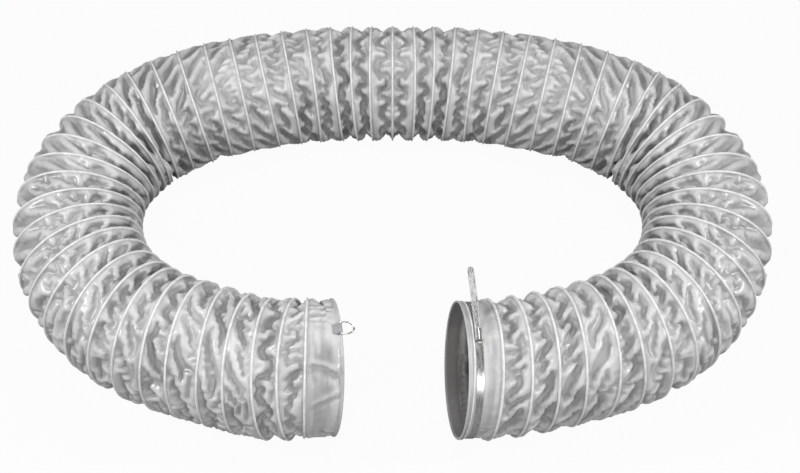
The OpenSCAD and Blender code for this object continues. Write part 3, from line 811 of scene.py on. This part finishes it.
# the middle section takes both halves up to the first cut
middleRow = rightTurns[cuts[0]]
leftPart = (rightGrid[1:middleRow + 1] * mirrorX)[::-1]
middleGrid = np.concatenate([leftPart, rightGrid[:middleRow + 1]])
middleTurns = sorted({middleRow + sign * row for row in rightTurns[:cuts[0] + 1] for sign in (-1, 1)})
middlePiece = ductPiece("middleSectionFabric", middleGrid, middleTurns, 0, len(middleGrid) - 1, backwards=True)
bendPiece(middlePiece, middleGrid[-1], middleGrid[0], True)
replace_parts(middlePiece, "hose_middle")

hem = {"out": 2.6, "along": 2.5, "degrees": (-62, -30, 0, 35, 65, 90, 115, 145, 175, 200)}


def hemRing(side):
    # round the wire in the hem: from the outside of the sleeve, over the mouth, to its inside
    length, middle = duct["cuffLength"][side] - duct["hemRadius"], duct["boreRadius"] + duct["hemRadius"]
    steps = [math.radians(t) for t in hem["degrees"]]
    profile = [(math.cos(t) * hem["out"], math.sin(t) * hem["along"]) for t in steps]
    return np.array([cuffRing(side, length + along, middle + out, angle) for out, along in profile])


def cuffPiece(side, grid, turnRows, firstRow):
    name = "leftCuffFabric" if side < 0 else "rightCuffFabric"
    piece = ductPiece(name, grid, turnRows, firstRow, len(grid) - 1, backwards=side > 0, hemRows=hemRing(side))
    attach(piece, "left_end" if side < 0 else "right_end")
    return piece


leftCuff = cuffPiece(-1, leftGrid, leftTurns, leftCuffRow)
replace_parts(leftCuff, "left_cuff", "left_cuff_wire")
rightCuff = cuffPiece(1, rightGrid, rightTurns, rightCuffRow)
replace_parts(rightCuff, "right_cuff")

closing = {"along": 41.5, "lean": 1.5, "radius": 153.2, "tube": 1.7, "sides": 12}


def closingTurn(name):
    # the last turn, on the right cuff: a ring whose middle circle leans about the level line across the mouth
    tubeAngle = np.linspace(0, 2 * np.pi, closing["sides"], endpoint=False)[:, None, None]
    root, axis, across, upward = cuffAxes(1)
    spin = math.radians(closing["lean"])
    leanUp = upward * math.cos(spin) - axis * math.sin(spin)
    leanAxis = axis * math.cos(spin) + upward * math.sin(spin)
    direction = np.cos(angle)[:, None] * across + np.sin(angle)[:, None] * leanUp
    middle = (root + closing["along"] * axis)[None, None]
    grid = middle + (closing["radius"] + closing["tube"] * np.cos(tubeAngle)) * direction[None]
    grid = grid + closing["tube"] * np.sin(tubeAngle) * leanAxis
    piece = gridMesh(name, grid, [coverMaterial])
    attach(piece, "right_end")
    return piece


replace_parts(closingTurn("rightClosingTurn"), "right_end_wire")
print("cuffs made")


# The webbing and the D-ring's bar that it runs round, at the left hem
strap = {
    "width": 25.0, "thick": 1.4, "barRadius": 1.5, "play": 0.08, "corner": 0.6, "lift": 0.2, "inside": 0.92,
    "narrower": 0.3, "lineSteps": 90, "turnSteps": 13,
}
hemOut = duct["boreRadius"] + 2 * duct["hemRadius"]
loopRadius = strap["barRadius"] + strap["play"] + strap["thick"] / 2
barOut = hemOut + strap["lift"] + loopRadius + strap["thick"] / 2
barAlong = duct["cuffLength"][-1] - duct["hemRadius"]


def leftMouth(angleDegrees):
    # root and axis of the left cuff, and at an angle round it the way out and the way along a bar there
    root, axis, across, upward = cuffAxes(-1)
    a = math.radians(angleDegrees)
    out = math.cos(a) * across + math.sin(a) * upward
    return root, axis, out, np.cross(axis, out)


def strapTab(name, angleDegrees):
    # A folded strap: its outline runs up the cuff, over the hem, round the ring's bar and back under itself,
    # with the strap's thickness across it and its width along the bar
    root, axis, out, side = leftMouth(angleDegrees)
    flat = duct["cuffRadius"] + 0.5
    top = [[barAlong - 17, flat + 2.4], [barAlong - 12, flat + 2.6], [barAlong - 7, flat + 2.8],
           [barAlong - 4.5, barOut + 0.3]]
    turn = np.radians(np.linspace(115, -115, strap["turnSteps"]))
    loop = np.stack([barAlong + loopRadius * np.cos(turn), barOut + loopRadius * np.sin(turn)], 1)
    back = [[barAlong - 4.0, hemOut - 1.0], [barAlong - 8, flat + 1.0], [barAlong - 12, flat + 0.9],
            [barAlong - 16, flat + 0.9]]
    line = np.concatenate([top, loop, back])
    fine = np.linspace(0, len(line) - 1, strap["lineSteps"])
    line = np.stack([np.interp(fine, np.arange(len(line)), line[:, k]) for k in (0, 1)], 1)
    for again in range(3):
        line[1:-1] = (line[:-2] + 2 * line[1:-1] + line[2:]) / 4
    tangent = np.gradient(line, axis=0)
    tangent /= np.linalg.norm(tangent, axis=1, keepdims=True)
    normal = np.stack([-tangent[:, 1], tangent[:, 0]], 1)
    half, w = strap["thick"] / 2 * strap["inside"], strap["width"] / 2 - strap["narrower"]
    c = strap["corner"]
    under = np.array([[-w, c - half], [c - w, -half], [0, -half], [w - c, -half], [w, c - half]])
    section = np.concatenate([under, -under])
    points = line[:, None, :] + normal[:, None, :] * section[None, :, 1:2]
    grid = root + points[..., 0:1] * axis + points[..., 1:2] * out + section[None, :, 0:1] * side
    travelled = np.concatenate([[0], np.cumsum(np.linalg.norm(np.diff(line, axis=0), axis=1))]) * millimetre
    count = len(section)
    uv = (np.arange(count) * 0.005, travelled)
    piece = gridMesh(name, grid, [strapMaterial], uv=uv, closeRows=False)
    mesh = piece.data
    shell = bmesh.new()
    shell.from_mesh(mesh)
    shell.verts.ensure_lookup_table()
    shell.faces.new([shell.verts[i] for i in range(count)])
    shell.faces.new([shell.verts[len(grid) * count - 1 - i] for i in range(count)])
    bmesh.ops.recalc_face_normals(shell, faces=shell.faces)
    shell.to_mesh(mesh)
    shell.free()
    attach(piece, "left_end")
    return piece


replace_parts(strapTab("upperWebbingTab", 80), "upper_tab")
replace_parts(strapTab("lowerWebbingTab", 205), "lower_tab")


def copyOfNode(name, node, material):
    # a merged copy of a fitting of the frame, with its points in millimetres
    whole = bmesh.new()
    whole.from_mesh(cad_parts[node].data)
    bmesh.ops.remove_doubles(whole, verts=whole.verts, dist=1e-6)
    bmesh.ops.recalc_face_normals(whole, faces=whole.faces)
    mesh = bpy.data.meshes.new(name)
    whole.to_mesh(mesh)
    whole.free()
    mesh.materials.clear()
    mesh.materials.append(material)
    piece = placed(name, mesh)
    flat = np.empty(3 * len(mesh.vertices))
    mesh.vertices.foreach_get("co", flat)
    return piece, flat.reshape(-1, 3) / millimetre


bow = {"longer": 0.3, "from": 2.0, "over": 3.0}


def openRing(name, node, angleDegrees):
    # the ring's wire, its bow drawn out from the bar: away * (1 + longer * smooth((|away| - from) / over))
    root, axis, out, side = leftMouth(angleDegrees)
    bar = root + barAlong * axis + barOut * out
    piece, points = copyOfNode(name, node, ringChrome)
    points = points - bar
    along = (points @ side)[:, None] * side
    away = points - along
    reach = np.linalg.norm(away, axis=1, keepdims=True)
    points = bar + along + away * (1 + bow["longer"] * smooth((reach - bow["from"]) / bow["over"]))
    piece.data.vertices.foreach_set("co", (points * millimetre).ravel())
    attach(piece, node.replace("_d_ring", "_ring"))
    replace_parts(piece, node)


tail = {"slotStep": 3.2, "extraSlots": 14, "plainEnd": 16.0}


def longTail():
    # the band's free end with more slots: a stretch before its plain end is laid once more beyond itself
    piece, points = copyOfNode("clampTailStrip", "clamp_tail", bandSteel)
    far, near = points[np.argmax(points[:, 1])], points[np.argmin(points[:, 1])]
    centre = points.mean(0)
    unit = np.linalg.svd(points - centre, full_matrices=False)[2][0]
    unit *= np.sign((far - near) @ unit)
    tip = float(((points - centre) @ unit).max())
    extra = tail["slotStep"] * tail["extraSlots"]
    cutFar = tip - tail["plainEnd"]
    whole = bmesh.new()
    whole.from_mesh(piece.data)
    for place in (cutFar, cutFar - extra):
        everything = whole.verts[:] + whole.edges[:] + whole.faces[:]
        point = (centre + unit * place) * millimetre
        bmesh.ops.bisect_plane(whole, geom=everything, dist=1e-7, plane_co=point, plane_no=unit)

    def placeOf(face):
        return float((np.array(face.calc_center_median()) / millimetre - centre) @ unit)

    again = [face for face in whole.faces if cutFar - extra < placeOf(face) < cutFar]
    end = [face for face in whole.faces if placeOf(face) > cutFar]
    moved = bmesh.ops.split(whole, geom=end)["geom"]
    moved += bmesh.ops.duplicate(whole, geom=again)["geom"]
    faces = [part for part in moved if isinstance(part, bmesh.types.BMFace)]
    corners = list({corner for face in faces for corner in face.verts})
    bmesh.ops.translate(whole, verts=corners, vec=unit * extra * millimetre)
    bmesh.ops.remove_doubles(whole, verts=whole.verts, dist=2e-6)
    whole.to_mesh(piece.data)
    whole.free()
    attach(piece, "clamp_tail")
    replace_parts(piece, "clamp_tail")


openRing("upperRingWire", "upper_d_ring", 80)
openRing("lowerRingWire", "lower_d_ring", 205)
longTail()
finishes = {
    "clamp_band": bandSteel, "clamp_housing": bandSteel, "clamp_screw": screwSteel, "right_rivet": screwSteel,
    "left_rim_wire": wireSteel, "right_rim_wire": wireSteel,
}
for node, material in finishes.items():
    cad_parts[node].data.materials.clear()
    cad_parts[node].data.materials.append(material)
print("fittings dressed")


studio = {"floor": "#8E8E8E", "floorReach": 9, "floorSeen": 0.96, "sky": 0.18}
# name, place, what it points at, side of its square, and power
lamps = [
    ("keyLamp", (0, 0.1, 3.0), (0, -0.1, 0), 1.1, 32.0),
    ("leftSideLamp", (-2.6, -0.9, 2.0), (-0.7, 0, 0.15), 0.5, 56.0),
    ("rightSideLamp", (2.6, -0.9, 2.0), (0.7, 0, 0.15), 0.5, 56.0),
    ("leftFrontLamp", (-0.7, -2.1, 1.0), (-0.5, -0.5, 0.1), 0.7, 9.5),
    ("rightFrontLamp", (0.7, -2.1, 1.0), (0.5, -0.5, 0.1), 0.7, 9.5),
    ("backLamp", (0, 2.8, 2.6), (0, 0, 0.1), 1.8, 8.0)]
view = {"place": (0.0, -2.6996, 2.5942), "tilt": 48, "sensor": 36.0, "lens": 65.2, "shift": (0.0094, -0.0344)}


def makeFloor():
    # paper that the camera sees almost white, and that lights the duct as grey paper does
    mesh = bpy.data.meshes.new("floor")
    r = studio["floorReach"]
    mesh.from_pydata([(-r, -r, 0), (r, -r, 0), (r, r, 0), (-r, r, 0)], [], [(0, 1, 2, 3)])
    floor = placed("floor", mesh)
    material, tree, shader = newMaterial("whiteStudioPaper", studio["floor"], 0.9)
    glow = addNode(tree, "ShaderNodeEmission", values={"Color": (1, 1, 1, 1), "Strength": 1.0})
    lightPath = addNode(tree, "ShaderNodeLightPath")
    seen = addNode(tree, "ShaderNodeMath", {"operation": "MULTIPLY"}, {1: studio["floorSeen"]},
                   {0: lightPath.outputs["Is Camera Ray"]})
    mixed = addNode(tree, "ShaderNodeMixShader", None, None,
                    {"Fac": seen.outputs["Value"], 1: shader.outputs["BSDF"], 2: glow.outputs["Emission"]})
    linkInputs(tree, tree.nodes["Material Output"], {"Surface": mixed.outputs["Shader"]})
    mesh.materials.append(material)


def makeLamp(name, place, target, size, power):
    light = bpy.data.lights.new(name, "AREA")
    light.shape, light.size, light.energy = "SQUARE", size, power
    lamp = placed(name, light)
    away = np.array(place, float) - np.array(target, float)
    across = np.cross([0, 0, 1], away)
    across /= np.linalg.norm(across)
    back = away / np.linalg.norm(away)
    upward = np.cross(back, across)
    turned = np.eye(4)
    turned[:3] = np.stack([across, upward, back, place], 1)
    lamp.matrix_world = Matrix(turned.tolist())


def makeWorld():
    world = bpy.data.worlds.new("studio")
    bpy.context.scene.world = world
    world.use_nodes = True
    tree = world.node_tree
    background = tree.nodes["Background"]
    background.inputs["Color"].default_value = (1, 1, 1, 1)
    rays = addNode(tree, "ShaderNodeLightPath").outputs
    seen = addNode(tree, "ShaderNodeMath", {"operation": "MAXIMUM"}, None,
                   {0: rays["Is Camera Ray"], 1: rays["Is Transmission Ray"]})
    strength = addNode(tree, "ShaderNodeMapRange", None, {"To Min": studio["sky"], "To Max": 1.0},
                       {"Value": seen.outputs["Value"]})
    linkInputs(tree, background, {"Strength": strength.outputs["Result"]})


def makeCamera():
    data = bpy.data.cameras.new("camera")
    data.sensor_width, data.lens = view["sensor"], view["lens"]
    data.shift_x, data.shift_y = view["shift"]
    camera = placed("camera", data)
    camera.location = view["place"]
    camera.rotation_euler = (math.radians(view["tilt"]), 0, 0)
    bpy.context.scene.camera = camera


makeFloor()
makeWorld()
for lamp in lamps:
    makeLamp(*lamp)
makeCamera()
bpy.context.scene.view_settings.view_transform = "Standard"
print("studio set up")
